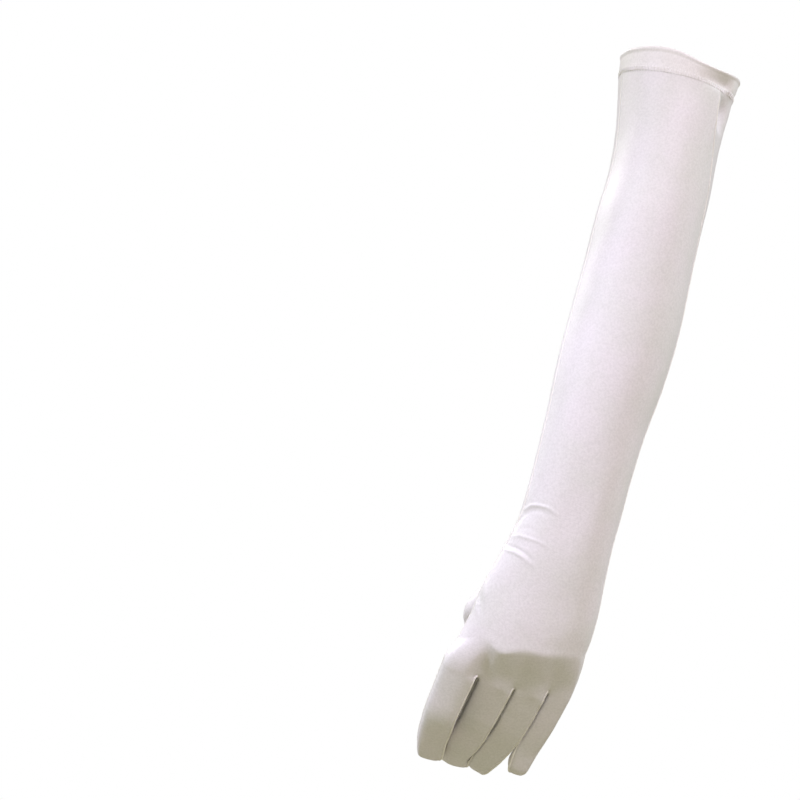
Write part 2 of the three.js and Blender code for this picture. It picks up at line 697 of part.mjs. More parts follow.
// The turned hem: a closed band of doubled cloth round the arm opening. Each row of its profile is a
// distance out from the sleeve's surface and a share of the hem's width. The rim dips towards the
// little-finger side of the back.
const HEM_DIP = { around: 60, reach: 45, depth: 2.4 };
const HEM_PROFILE = table(
  ['out', 'down'],
  [
    [HEM_PROUD * 0.4, 1],
    [HEM_PROUD, 0.75],
    [HEM_PROUD, 0.2],
    [0, 0],
    [HEM_PROUD - HEM_DOUBLE, 0],
    [HEM_PROUD - HEM_DOUBLE - 0.4, 0.3],
    [-WALL, 1],
  ],
);

function hemGeometry() {
  const around = 2 * PANEL_COLUMNS;
  const last = HEM_WIDTH - SEAM_GAP;
  const positions = [];
  for (let k = 0; k < around; k += 1) {
    const angle = (360 * k) / around;
    const share = clamp((angle - HEM_DIP.around) / HEM_DIP.reach, -1, 1);
    const rim = HEM_DIP.depth * (1 - share * share) ** 2;
    for (const { out, down } of HEM_PROFILE) {
      const section = sectionAt(mix(rim, last, down));
      positions.push(onSection(section, angle, out + foldHeight(section.z, angle)));
    }
  }
  const size = HEM_PROFILE.length;
  const index = [];
  for (let k = 0; k < around; k += 1) {
    for (let p = 0; p < size; p += 1) {
      const [here, next] = [k * size, ((k + 1) % around) * size];
      const after = (p + 1) % size;
      index.push(here + p, next + after, next + p, here + p, here + after, next + after);
    }
  }
  return new THREE.BufferGeometry().setFromPoints(positions).setIndex(index);
}

function satin() {
  return new THREE.MeshStandardMaterial({
    color: SATIN_COLOUR,
    roughness: SATIN_ROUGHNESS,
    metalness: 0,
  });
}

function pieceMesh(name, geometry) {
  geometry.computeVertexNormals();
  const mesh = new THREE.Mesh(geometry, satin());
  mesh.name = name;
  return mesh;
}

function makeGlove() {
  addPanels();
  for (let finger = 0; finger < 3; finger += 1) addGusset(finger);
  addThumb();
  const pieces = [...new Set(faces.map((face) => face.piece))];
  const normals = skinNormals(pieces);
  const glove = new THREE.Group();
  for (const piece of pieces) glove.add(pieceMesh(piece, pieceGeometry(piece, normals)));
  glove.add(pieceMesh('hem_band', hemGeometry()));
  return glove;
}

export default makeGlove();
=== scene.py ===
"""Looks of a long satin glove: fine cloth with folds, seams, a stitched hem, soft light and the camera.

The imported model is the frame. The tables and the way they make a skin are those of the solids, in
millimetres; every piece is scaled to metres when its mesh is made.
"""

import math

import bpy
import numpy as np
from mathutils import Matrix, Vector


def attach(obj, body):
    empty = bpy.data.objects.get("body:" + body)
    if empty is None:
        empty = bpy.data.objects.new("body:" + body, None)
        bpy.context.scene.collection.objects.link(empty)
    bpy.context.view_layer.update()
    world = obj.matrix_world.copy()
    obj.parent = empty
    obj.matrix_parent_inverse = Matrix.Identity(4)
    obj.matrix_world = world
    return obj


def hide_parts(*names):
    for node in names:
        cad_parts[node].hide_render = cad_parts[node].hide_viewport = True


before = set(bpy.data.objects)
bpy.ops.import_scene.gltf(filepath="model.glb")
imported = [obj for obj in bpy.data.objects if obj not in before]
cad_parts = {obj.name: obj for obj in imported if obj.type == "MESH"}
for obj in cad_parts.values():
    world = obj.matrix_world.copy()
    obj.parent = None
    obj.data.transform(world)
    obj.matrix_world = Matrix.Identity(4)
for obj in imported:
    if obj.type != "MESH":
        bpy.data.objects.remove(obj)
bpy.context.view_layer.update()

MM = 0.001


def add_object(name, data):
    made = bpy.data.objects.new(name, data)
    bpy.context.scene.collection.objects.link(made)
    return made


# Sizes and tables


def table(columns, *rows):
    """Rows with named columns."""
    return [dict(zip(columns.split(), row)) for row in rows]


HEM_WIDTH = 12.8
FINGER_COLUMNS = 4
PANEL_COLUMNS = 4 * FINGER_COLUMNS
COLUMNS = range(PANEL_COLUMNS + 1)
KNUCKLE_ROWS = 5
KNUCKLE_BEND = 0.35
KNUCKLE_STEP = 3  # cloth from one row of the knuckles to the next
THUMB_BASE_ROWS = 5
THUMB_BASE_CLOTH = 20
FINGER_ROOM = 2.2
SLIT_TURN = 0.6  # how much of two fingers' difference in depth turns the slit between them
GUSSET_ANGLE = 33
GUSSET_HALF = 6
THUMB_SEAM = 165
CLOTH = 0.6  # thickness of the cloth that shows
FINGER_CLOTH = dict(across=23, down=15)  # cloth from finger to finger, and from the knuckles to their roots

SECTIONS = table(
    "place x y z half back palm square tilt pitch arch seam",
    ("arm opening", 0, 0, 0, 36.2, 38, 38, 2, 14.5, -7.6, 0, 46),
    ("hem stitches", -2.9, -2.5, -12.4, 34.9, 37.5, 37.5, 2, 14, -8, 0, 45),
    ("above elbow", -5.8, -8, -29.1, 32.8, 36.5, 36.5, 2, 10.5, -9, 0, 42),
    ("elbow", -9.8, -14, -50.1, 31, 36, 36, 2, 11, -10, 0, 32),
    ("below elbow", -14.4, -20, -72.1, 31, 35.5, 36, 2, 13, -11, 0, 25),
    ("upper forearm", -21.4, -27, -96.1, 31.6, 34.5, 36, 2, 14, -12, 0, 18),
    ("full forearm", -28.8, -34, -125.1, 31.9, 32.5, 35, 2, 15, -12, 0, 12),
    ("middle forearm", -36.6, -40.5, -155.1, 32.6, 30.5, 33, 2, 15, -11, 0, 8),
    ("lower forearm", -45.2, -46.5, -184.1, 31.8, 28, 29.5, 2, 15, -9, 0, 4),
    ("narrowing", -54.1, -51.5, -213.1, 29.4, 25, 25.5, 2.1, 16, -7, 0, 2),
    ("above wrist", -61.4, -55, -239.1, 28.5, 22.5, 22.5, 2.2, 16, -5, 0, 1),
    ("wrist", -67.1, -57.5, -260.1, 28.4, 20.5, 20.5, 2.3, 16, -4, 0.5, 0),
    ("below wrist", -72.4, -59.5, -277.1, 28.8, 19, 19.5, 2.4, 16, -4, 1, 0),
    ("heel of hand", -79.2, -61.5, -295.1, 31.4, 17.5, 20, 2.4, 15, -3, 2, 0),
    ("middle of palm", -85.9, -62.8, -313.1, 34.4, 16, 19, 2.4, 14, -2, 3, 0),
    ("below thumb", -91.4, -63.5, -329.1, 35.6, 15.4, 17.3, 2.5, 12, -2, 4, 0),
    ("knuckles", -97, -62.8, -342, 36.8, 15.3, 15.8, 2.5, 9, 6, 4.5, 0),
)

# How far below the last section each column of the back turns into the fingers (mm), and over how long a
# stretch above it the rows give way to that line. The index knuckle is higher and the middle one lower.
KNUCKLE_LINE = [0, -1.5, -3.6, -3.2, -0.4, 1.6, 1.6, 0.2, -0.6, -0.4, 0.2, 0.2, 0, -0.4, 0, 0, 0]
KNUCKLE_REACH = 14

# Rows down the sleeve and the hand, closest where the folds are.
ROW_SPACING = [("above wrist", 6.5), ("below thumb", 2.2), ("knuckles", 4)]

# Columns of the knuckle rows that are evened out, and how much and how often
EVENED = dict(first=6, last=14, share=0.3, times=2)

FINGERS = table(
    "name x y z roll half back palm parting",
    ("index", -131.6, -57.9, -352.8, -8, 11.4, 9.8, 9.6, 0),
    ("middle", -111.1, -54, -359.6, 0, 12, 9.8, 9.6, 0),
    ("ring", -91.4, -51, -364.9, 7, 10.4, 9.4, 9.2, -2.5),
    ("little", -74.8, -46, -368, 10, 8.1, 8.4, 8.4, 0),
)
BONES = table(
    "finger length tilt pitch half back palm",
    ("index", 33.5, 22.5, 23, 10.4, 9.4, 9.2),
    ("index", 24, 17, 46.5, 9.4, 8.8, 8.6),
    ("index", 21, 8, 52, 7.6, 6.8, 6.8),
    ("middle", 34.8, 25, 33, 11.4, 9.2, 8.8),
    ("middle", 27, 25, 46, 10.4, 8.4, 8.2),
    ("middle", 21.5, 17, 54, 7.4, 6.8, 6.8),
    ("ring", 32, 25, 33, 10.2, 8.8, 8.4),
    ("ring", 24, 33, 38, 9, 8, 7.8),
    ("ring", 21, 39, 36, 6.8, 6.6, 6.6),
    ("little", 23, 24, 26, 7.6, 7.6, 7.4),
    ("little", 22, 28, 30, 7, 6.8, 6.6),
    ("little", 20, 25, 24, 6, 5.8, 5.8),
    ("thumb", 31, -8, 25, 9.8, 9, 9.4),
    ("thumb", 29, -14, 20, 8, 7, 7.4),
)
THUMB = dict(name="thumb", x=-119.5, y=-31, z=-325, roll=-25, half=10.6, back=9.6, palm=10.6)
THUMB_WINDOW = dict(first=1, last=6, top=-295, bottom=-331)
THUMB_PULL = 1.2
THUMB_FLATNESS = 0.75
ROUNDNESS = 0.75

# Hollows and swellings: a height on the centre line, an angle round the glove, the reach in degrees to
# either side, half width and height in millimetres.
SWELLS = table(
    "along around thumb_reach back_reach width depth",
    (-28, 22, 13, 13, 11, -2.4),
    (-8.6, 38, 42, 13, 4.2, -3.0),
    (-8.5, 21, 8, 14, 4.5, 0.45),
    (-272, 150, 40, 40, 5.5, -0.5),
    (-289, 150, 34, 40, 3.4, -0.35),
)

# Thin folds: half width and height in millimetres, then by turns the angles and the heights on the centre
# line of the fold's points.
FOLDS = [
    (2.9, -3.4, 32, -11, 29, -18, 27, -26, 27, -38),
    (1.5, -2.2, 37, -14, 35, -20, 33, -27, 33, -33),
    (2.4, 0.5, 14, -12, 12, -20, 12, -34),
    (1.1, 0.4, 44, -13, 43, -22, 42, -32, 40, -60),
    (0.9, 0.48, 172, -279, 166, -274.5, 160, -269.8, 145, -266.9, 132, -266, 118, -266, 100, -269),
    (1.5, -0.26, 164, -277, 157, -273, 142, -269.8, 127, -268.6, 112, -270),
    (0.9, 0.32, 166, -287, 146, -284.3, 129, -284.6, 115, -284.8, 100, -286.4),
    (0.85, -0.42, 172, -290.4, 142, -291, 126, -292, 108, -295.6),
    (0.85, 0.42, 170, -293.2, 138, -293.4, 122, -295, 106, -298.6),
    (1.6, -0.16, 152, -281, 138, -279.4, 120, -280),
    (1.0, -1.0, 172, -317, 164, -321, 156, -325.5, 148, -329.5),
    (1.2, 0.85, 172, -321.6, 163, -326, 154, -330),
    (1.4, 0.4, 166, -312, 154, -318, 146, -323),
    # Wrinkles on the hidden side, as soft as those of the shown side
    (3.6, 0.4, 238, -34, 262, -37, 290, -35),
    (3.4, -0.45, 225, -50, 250, -46, 300, -47),
    (3.6, 0.4, 230, -58, 262, -61, 292, -57),
    (2.0, 0.4, 205, -252, 236, -247, 268, -249),
    (1.9, -0.6, 216, -259, 262, -256.5, 304, -259),
    (1.7, 0.55, 208, -263, 250, -264.5, 298, -262),
    (1.7, -0.65, 212, -270, 262, -272, 312, -269),
    (1.8, 0.45, 220, -277, 255, -279, 292, -280),
    (2.2, -0.5, 268, -300, 288, -314, 300, -330),
    (2.0, -0.4, 250, -336, 275, -333, 305, -337),
]

# The skin: sections, fingers and the faces of each piece


def smooth(t):
    return t * t * (3 - 2 * t)


def clamp(value, low=0.0, high=1.0):
    return min(max(value, low), high)


def mix(a, b, t):
    return a + (b - a) * t


def curve(start, end, leaving, arriving, t):
    """The place at a share t of a smooth curve, with its slopes at both ends."""
    return mix(start, end, smooth(t)) + (leaving * t * (1 - t) ** 2 - arriving * t * t * (1 - t))


def signed_power(value, power):
    return math.copysign(abs(value) ** power, value)


def point(row):
    return np.array([row["x"], row["y"], row["z"]], float)


def unit(v):
    return v / np.linalg.norm(v, axis=-1, keepdims=True)


def frame_of(section):
    """Directions down the glove, across towards the little finger and out at the back."""
    t, p, r = (math.radians(section.get(k, 0)) for k in ("tilt", "pitch", "roll"))
    down = np.array([-math.sin(t) * math.cos(p), math.sin(p), -math.cos(t) * math.cos(p)])
    level = np.array([math.cos(t), 0, -math.sin(t)])
    out = np.cross(down, level)
    return down, level * math.cos(r) - out * math.sin(r), out * math.cos(r) + level * math.sin(r)


def on_section(section, degrees, proud=0.0):
    """The point of a section at an angle round it: 0 is the little-finger side and 90 the back."""
    _, across, out = frame_of(section)
    angle = math.radians(degrees)
    power = 2 / section.get("square", 2)
    share = signed_power(math.cos(angle), power)
    depth = section["back"] if math.sin(angle) > 0 else section["palm"]
    rise = (depth + proud) * signed_power(math.sin(angle), power) - section.get("arch", 0) * share**2
    return point(section) + across * (section["half"] + proud) * share + out * rise


def interpolate(rows, places, place):
    """Smooth interpolation of every number of the rows, which are at the given places."""
    i = 0
    while i < len(rows) - 2 and place > places[i + 1]:
        i += 1
    span = places[i + 1] - places[i]
    t = (place - places[i]) / span
    beside = [(max(k - 1, 0), min(k + 1, len(rows) - 1)) for k in (i, i + 1)]
    found = {}
    for key, value in rows[i].items():
        if not isinstance(value, str):
            slopes = [(rows[b][key] - rows[a][key]) / (places[b] - places[a]) * span for a, b in beside]
            found[key] = curve(value, rows[i + 1][key], *slopes, t)
    return found


steps = [np.linalg.norm(point(below) - point(above)) for above, below in zip(SECTIONS, SECTIONS[1:])]
section_places = [0.0, *np.cumsum(steps)]
PLACE = {section["place"]: place for section, place in zip(SECTIONS, section_places)}


def section_at(place):
    return interpolate(SECTIONS, section_places, place)


FINGER_EDGES = [-1, -0.47, 0.06, 0.55, 1]
EDGE_SHARES = {0: [0, 0.14, 0.42, 0.71, 1], 3: [0, 0.29, 0.58, 0.86, 1]}
EVEN_SHARES = [0, 0.25, 0.5, 0.75, 1]


def finger_of(column):
    """The finger that a column of a panel leads to, and its number among the columns of that finger."""
    finger = min(column // FINGER_COLUMNS, 3)
    return finger, column - finger * FINGER_COLUMNS


def knuckle_angle(column, square):
    finger, own = finger_of(column)
    share = EDGE_SHARES.get(finger, EVEN_SHARES)[own]
    across = mix(FINGER_EDGES[finger], FINGER_EDGES[finger + 1], share)
    return math.degrees(math.acos(clamp(signed_power(across, square / 2), -1)))


def column_angle(side, column, place, section):
    from_wrist = smooth(clamp((place - PLACE["wrist"]) / (PLACE["knuckles"] - PLACE["wrist"])))
    knuckle = knuckle_angle(column, section["square"])
    share = column / PANEL_COLUMNS
    if side == "back":
        return mix(mix(THUMB_SEAM, section["seam"], share), knuckle, from_wrist)
    return mix(mix(THUMB_SEAM, 360 + section["seam"], share), 360 - knuckle, from_wrist)


row_places = [HEM_WIDTH]
for until, step in ROW_SPACING:
    start = row_places[-1]
    count = round((PLACE[until] - start) / step)
    row_places += [mix(start, PLACE[until], i / count) for i in range(1, count + 1)]

STEP = 0.5
JOINT_BLEND = 7
CAP_RATIO = 1.15
TIP_WIDTH = 0.36
TIP_SQUARE = 2.1
FINGER_SQUARE = 3.0
FIRST_RING = 3.2
SHAFT_RINGS = 12
CAP_SHARES = [0.4, 0.7, 0.9, 1]


class Finger:
    """A finger's centre line, walked in small steps while it turns from one bone into the next."""

    def __init__(self, root):
        self.root = root
        self.bones = [bone for bone in BONES if bone["finger"] == root["name"]]
        self.ends = list(np.cumsum([bone["length"] for bone in self.bones]))
        self.total = self.ends[-1]
        self.cap = CAP_RATIO * self.bones[-1]["half"]
        self.sizes = [{k: row[k] for k in ("half", "back", "palm")} for row in [root, *self.bones]]
        self.line = [point(root)]
        for i in range(math.ceil(self.total / STEP)):
            turn = dict(tilt=self.angle("tilt", i * STEP), pitch=self.angle("pitch", i * STEP))
            self.line.append(self.line[-1] + frame_of(turn)[0] * STEP)

    def angle(self, key, s):
        angle = self.bones[0][key]
        for end, bone in zip(self.ends, self.bones[1:]):
            angle = mix(angle, bone[key], smooth(clamp((s - end) / (2 * JOINT_BLEND) + 0.5)))
        return angle

    def section_at(self, s):
        x, y, z = self.line[round(s / STEP)]
        size = interpolate(self.sizes, [0, *self.ends], s)
        into_cap = clamp((s - self.total + self.cap) / self.cap)
        round_off = math.sqrt(1 - into_cap * into_cap)
        section = dict(x=x, y=y, z=z, roll=self.root["roll"])
        section |= {key: self.angle(key, s) for key in ("tilt", "pitch")}
        section |= {key: size[key] * round_off for key in ("back", "palm")}
        half = size["half"] * mix(TIP_WIDTH, 1, round_off)
        return section | dict(half=half, square=mix(TIP_SQUARE, FINGER_SQUARE, round_off))

    def at(self, s, degrees):
        return on_section(self.section_at(s), degrees)

    def ring_places(self):
        shaft = self.total - self.cap
        even = [mix(FIRST_RING, shaft, i / (SHAFT_RINGS - 1)) for i in range(SHAFT_RINGS)]
        return even + [shaft + share * self.cap for share in CAP_SHARES]


fingers = [Finger(root) for root in FINGERS]
thumb = Finger(THUMB)


def beside_neighbours(finger, s, position):
    """Moves a point of a finger back to its own side of the plane halfway to each finger beside it."""
    own = fingers[finger].section_at(s)
    centre = point(own)
    for k in (finger - 1, finger + 1):
        if not 0 <= k < len(fingers):
            continue
        away = [np.linalg.norm(spot - centre) for spot in fingers[k].line]
        other = fingers[k].section_at(int(np.argmin(away)) * STEP)
        towards = (point(other) - centre) * (1, SLIT_TURN, 1)
        reach = np.linalg.norm(towards)
        limit = reach * own["half"] / (own["half"] + other["half"]) - FINGER_ROOM / 2
        excess = (position - centre) @ towards / reach - limit
        if excess > 0:
            position = position - towards / reach * excess
    return position


def finger_angles(finger):
    start = 180 if finger == 0 else 180 - GUSSET_ANGLE
    end = 0 if finger == 3 else GUSSET_ANGLE
    return [mix(start, end, i / FINGER_COLUMNS) for i in range(FINGER_COLUMNS + 1)]


PARTING_DROP = dict(back=0, gusset=1.2, palm=1.8)


def parting_point(finger, degrees, side):
    first = fingers[finger].at(0, degrees)
    second = fingers[finger + 1].at(0, math.copysign(180, degrees) - degrees)
    down = frame_of(fingers[finger].section_at(0))[0]
    return (first + second) / 2 + down * (FINGERS[finger]["parting"] + PARTING_DROP[side])


class Skin:
    """Shared vertices and, for each face, its piece and corners.

    A corner is (vertex, cloth, spot): cloth is its place on the flat cloth across and along, and spot is
    the angle round the glove or finger, the height or distance along it, and a region number.
    """

    def __init__(self):
        self.points, self.faces = [], []

    def vertex(self, position):
        self.points.append(position)
        return len(self.points) - 1

    def at(self, vertices):
        return np.array([self.points[vertex] for vertex in vertices])

    def face(self, piece, *corners):
        self.faces.append((piece, corners))

    def grid(self, piece, rows, turned=False, skip=lambda r, c: False):
        for r, (upper, lower) in enumerate(zip(rows, rows[1:])):
            for c in range(len(upper) - 1):
                if skip(r, c):
                    continue
                corners = [upper[c], lower[c], lower[c + 1], upper[c + 1]]
                self.face(piece, *(corners[::-1] if turned else corners))


REGION = dict(body=0, finger=1, thumb=5, gusset=6)  # the other fingers are 2 to 4

# The pieces of cloth: the CAD node that each stands for, its flat size across and along (m), its area (m2)
CLOTH_PIECES = table(
    "node name width length area",
    ("back_panel", "back_cloth", 0.122, 0.452, 0.0385),
    ("palm_panel", "palm_cloth", 0.122, 0.452, 0.0425),
    ("gusset_index_middle", "fourchette_index_middle", 0.0145, 0.165, 0.0018),
    ("gusset_middle_ring", "fourchette_middle_ring", 0.0145, 0.165, 0.00175),
    ("gusset_ring_little", "fourchette_ring_little", 0.0145, 0.145, 0.0015),
    ("thumb", "thumb_cloth", 0.085, 0.082, 0.0053),
    ("hem_band", "hem_cloth", 0.233, 0.026, 0.0059),
)
PIECES = [row["node"] for row in CLOTH_PIECES[:-1]]
skin = Skin()


def parting_place(side, column):
    """Where a column of a panel meets the fingers."""
    sign = 1 if side == "back" else -1
    finger, own = finger_of(column)
    if own == 0 and column > 0:
        return parting_point(finger - 1, sign * GUSSET_ANGLE, side)
    return fingers[finger].at(0, sign * finger_angles(finger)[own])


def body_point(side, column, place):
    """A point of a panel on the hand or the sleeve, and its angle and the height of its section."""
    if side == "back":
        near = clamp((place - row_places[-1]) / KNUCKLE_REACH + 1)
        place += KNUCKLE_LINE[column] * smooth(near)
    section = section_at(place)
    angle = column_angle(side, column, place, section)
    return on_section(section, angle), angle, section["z"]


def finger_way(column):
    """The direction of the fingers where they start, evened out from one to the next."""
    finger, own = finger_of(column)
    side = own / FINGER_COLUMNS - 0.5
    other = int(clamp(finger + math.copysign(1, side), 0, 3))
    ways = [frame_of(fingers[k].section_at(0))[0] for k in (finger, other)]
    return unit(mix(*ways, abs(side)))


def knuckle_rows(side, parting):
    """Rows of the hand that turn from the knuckles into the fingers."""
    down = frame_of(section_at(row_places[-1]))[0]
    begin = np.array([body_point(side, column, row_places[-1])[0] for column in COLUMNS])
    reach = np.linalg.norm(parting - begin, axis=1, keepdims=True)
    slopes = down * reach * KNUCKLE_BEND, np.array([finger_way(column) for column in COLUMNS]) * reach
    rows = [curve(begin, parting, *slopes, i / KNUCKLE_ROWS) for i in range(1, KNUCKLE_ROWS)]
    # Even out the creases that run up from the last two slits into the hand.
    first, after = EVENED["first"], EVENED["last"] + 1
    for row in rows * EVENED["times"]:
        beside = (row[first - 1 : after - 1] + row[first + 1 : after + 1]) / 2
        row[first:after] = mix(row[first:after], beside, EVENED["share"])
    return rows


def panel_rows(side, seams=None):
    """One panel's corners down to the parting, with the seam vertices of the first panel used again."""
    parting = np.array([parting_place(side, column) for column in COLUMNS])
    rows = []
    for place in row_places:
        section = section_at(place)
        girth = math.pi * (section["half"] + (section["back"] + section["palm"]) / 2) / 2
        points = zip(*(body_point(side, column, place) for column in COLUMNS))
        rows.append((*points, girth, place))
    _, angles, heights, girth, place = rows[-1]
    for i, positions in enumerate([*knuckle_rows(side, parting), parting]):
        drop = KNUCKLE_STEP * (i + 1)
        rows.append((positions, angles, [z - drop for z in heights], girth, place + drop))
    made = []
    for r, (positions, angles, heights, girth, place) in enumerate(rows):
        made.append([])
        for column, position in enumerate(positions):
            shared = seams and column in (0, PANEL_COLUMNS)
            vertex = seams[r][column][0] if shared else skin.vertex(position)
            cloth = ((column / PANEL_COLUMNS - 0.5) * girth, place)
            made[-1].append((vertex, cloth, (angles[column], heights[column], REGION["body"])))
    return made


back_rows = panel_rows("back")
palm_rows = panel_rows("palm", back_rows)


def finger_rings(finger):
    """A finger's rings of vertices: back and palm columns, and the middle of the gusset at both sides."""
    angles, places = finger_angles(finger), fingers[finger].ring_places()
    rings = []
    for s in places:
        at_tip = s == places[-1]

        def add(angle):
            return skin.vertex(beside_neighbours(finger, s, fingers[finger].at(s, angle)))

        back = [add(angle) for angle in angles]
        # The outer sides of the index and the little finger are seams, where both panels share a vertex.
        palm = [top if at_tip or angle in (0, 180) else add(-angle) for top, angle in zip(back, angles)]
        thumb_side = add(180) if finger > 0 and not at_tip else None
        little_side = add(0) if finger < 3 and not at_tip else None
        rings.append(dict(s=s, back=back, palm=palm, thumb_side=thumb_side, little_side=little_side))
    return rings


rings = [finger_rings(finger) for finger in range(4)]


def row_near(z):
    return int(np.argmin([abs(section_at(place)["z"] - z) for place in row_places]))


window_top, window_bottom = row_near(THUMB_WINDOW["top"]), row_near(THUMB_WINDOW["bottom"])
first_column, last_column = THUMB_WINDOW["first"], THUMB_WINDOW["last"]


def in_window(r, c):
    return window_top <= r < window_bottom and first_column <= c < last_column


def finger_corner(finger, vertex, angle, s):
    across = math.radians(90 - angle) * FINGERS[finger]["half"] + FINGER_CLOTH["across"] * finger
    cloth = (across, PLACE["knuckles"] + FINGER_CLOTH["down"] + s)
    return (vertex, cloth, (angle, s, REGION["finger"] + finger))


def add_panels():
    skin.grid("back_panel", back_rows)
    skin.grid("palm_panel", palm_rows, True, in_window)
    for finger in range(4):
        angles = finger_angles(finger)
        start = finger * FINGER_COLUMNS
        for side, body, sign in (("back", back_rows, 1), ("palm", palm_rows, -1)):
            root = [corner[0] for corner in body[-1][start : start + FINGER_COLUMNS + 1]]
            rows = [(0, root)] + [(ring["s"], ring[side]) for ring in rings[finger]]
            corners = [
                [finger_corner(finger, vertex, sign * angle, s) for vertex, angle in zip(row, angles)]
                for s, row in rows
            ]
            skin.grid(f"{side}_panel", corners, side == "palm")


def add_gusset(finger):
    """A strip up the side of one finger, round the parting and down the side of the next."""
    piece = PIECES[2 + finger]
    column = (finger + 1) * FINGER_COLUMNS
    middle = skin.vertex(parting_point(finger, 0, "gusset"))
    strip = [(0, back_rows[-1][column][0], middle, palm_rows[-1][column][0])]
    for ring in rings[finger]:
        strip.insert(0, (-ring["s"], ring["back"][-1], ring["little_side"], ring["palm"][-1]))
    for ring in rings[finger + 1]:
        strip.append((ring["s"], ring["back"][0], ring["thumb_side"], ring["palm"][0]))
    first_tip, *rows, last_tip = [
        [(vertex, (GUSSET_HALF * k, s), (k, s, REGION["gusset"])) for k, vertex in zip((-1, 0, 1), vertices)]
        for s, *vertices in strip
    ]
    for one, two in zip(rows, rows[1:]):
        for c in range(2):
            skin.face(piece, one[c], one[c + 1], two[c + 1], two[c])
    skin.face(piece, first_tip[0], *rows[0][::-1])
    skin.face(piece, last_tip[0], *rows[-1])


def round_window(cells):
    """Moves the square window's corners in, along the palm's surface, so that the thumb's seam is round."""
    rows, columns = (window_bottom - window_top) / 2, (last_column - first_column) / 2
    for r, c in cells:
        v, u = (r - window_top) / rows - 1, (c - first_column) / columns - 1
        v, u = v * math.sqrt(1 - ROUNDNESS * u * u / 2), u * math.sqrt(1 - ROUNDNESS * v * v / 2)
        row, column = window_top + (v + 1) * rows, first_column + (u + 1) * columns
        i, k = int(row), int(column)
        place = mix(row_places[i], row_places[i + 1], row - i)
        section = section_at(place)
        angles = [column_angle("palm", k + step, place, section) for step in (0, 1)]
        skin.points[palm_rows[r][c][0]] = on_section(section, mix(*angles, column - k))


def window_cells():
    """Rows and columns of the palm's vertices round the window."""
    cells = [(window_top, c) for c in range(first_column, last_column)]
    cells += [(r, last_column) for r in range(window_top, window_bottom)]
    cells += [(window_bottom, c) for c in range(last_column, first_column, -1)]
    return cells + [(r, first_column) for r in range(window_bottom, window_top, -1)]


def add_thumb():
    cells = window_cells()
    loop = [palm_rows[r][c][0] for r, c in cells]
    count = len(loop)
    start = skin.at(loop)
    out = unit(np.cross(start.mean(0) - start, np.roll(start, -1, 0) - np.roll(start, 1, 0)))
    round_window(cells)
    start = skin.at(loop)
    angles = [180 + 180 * (window_bottom - window_top) / count + 360 * k / count for k in range(count)]
    chord = np.array([thumb.at(0, angle) for angle in angles]) - start
    lean = chord - out * (chord * out).sum(1, keepdims=True) * THUMB_FLATNESS
    down = frame_of(thumb.section_at(0))[0] * np.linalg.norm(chord, axis=1, keepdims=True)
    rows = [(-THUMB_BASE_CLOTH, loop)]
    for i in range(1, THUMB_BASE_ROWS):
        t = i / THUMB_BASE_ROWS
        row = curve(start, start + chord, lean * THUMB_PULL, down, t)
        rows.append((THUMB_BASE_CLOTH * (t - 1), [skin.vertex(position) for position in row]))
    for s in [0, *thumb.ring_places()[:-1]]:
        rows.append((s, [skin.vertex(thumb.at(s, angle)) for angle in angles]))
    tip = skin.vertex(point(thumb.section_at(thumb.total)))
    grid = []
    for s, row in rows:
        closed = zip([*row, row[0]], [*angles, angles[0] + 360])
        grid.append([(v, (math.radians(a) * THUMB["half"], s), (a, s, REGION["thumb"])) for v, a in closed])
    skin.grid("thumb", grid, True)
    last = grid[-1]
    end = (tip, (0, thumb.total), (0, thumb.total, REGION["thumb"]))
    for k in range(0, count, 2):
        skin.face("thumb", last[k], last[k + 1], last[k + 2], end)


add_panels()
for k in range(3):
    add_gusset(k)
add_thumb()

# The fine skin: a smooth surface through the cage's own vertices

SUBDIVISIONS = 2
FIT_ROUNDS = 3


def corner_values(mesh, name, values):
    layer = mesh.attributes.new(name, "FLOAT_VECTOR", "CORNER")
    layer.data.foreach_set("vector", np.asarray(values, np.float32).ravel())


def read(collection, name, width, kind=np.float32):
    found = np.empty(len(collection) * width, kind)
    collection.foreach_get(name, found)
    return found.reshape(-1, width) if width > 1 else found


def subdivided(points, levels):
    """The cage with these points as a smooth mesh."""
    mesh = bpy.data.meshes.new("cage")
    mesh.from_pydata(points, [], [[corner[0] for corner in corners] for _, corners in skin.faces])
    mesh.polygons.foreach_set("material_index", [PIECES.index(piece) for piece, _ in skin.faces])
    for _ in PIECES:
        mesh.materials.append(None)
    flat = [corner for _, corners in skin.faces for corner in corners]
    corner_values(mesh, "cloth", [(*cloth, 0) for _, cloth, _ in flat])
    corner_values(mesh, "spot", [spot for _, _, spot in flat])
    cage = add_object("cage", mesh)
    subsurf = cage.modifiers.new("subsurf", "SUBSURF")
    subsurf.levels = levels
    subsurf.boundary_smooth = "ALL"
    found = bpy.data.meshes.new_from_object(cage.evaluated_get(bpy.context.evaluated_depsgraph_get()))
    bpy.data.objects.remove(cage)
    bpy.data.meshes.remove(mesh)
    return found


wanted = np.array(skin.points)
points = wanted.copy()
for _ in range(FIT_ROUNDS):
    smoothed = subdivided(points, 1)
    points += wanted - read(smoothed.vertices, "co", 3)[: len(wanted)]
    bpy.data.meshes.remove(smoothed)
fine = subdivided(points, SUBDIVISIONS)
co = read(fine.vertices, "co", 3).astype(float)
quads = read(fine.loops, "vertex_index", 1, np.int32).reshape(-1, 4)
piece_of = read(fine.polygons, "material_index", 1, np.int32)
cloth_of = read(fine.attributes["cloth"].data, "vector", 3).reshape(-1, 4, 3)
spot_of = read(fine.attributes["spot"].data, "vector", 3).reshape(-1, 4, 3)
bpy.data.meshes.remove(fine)


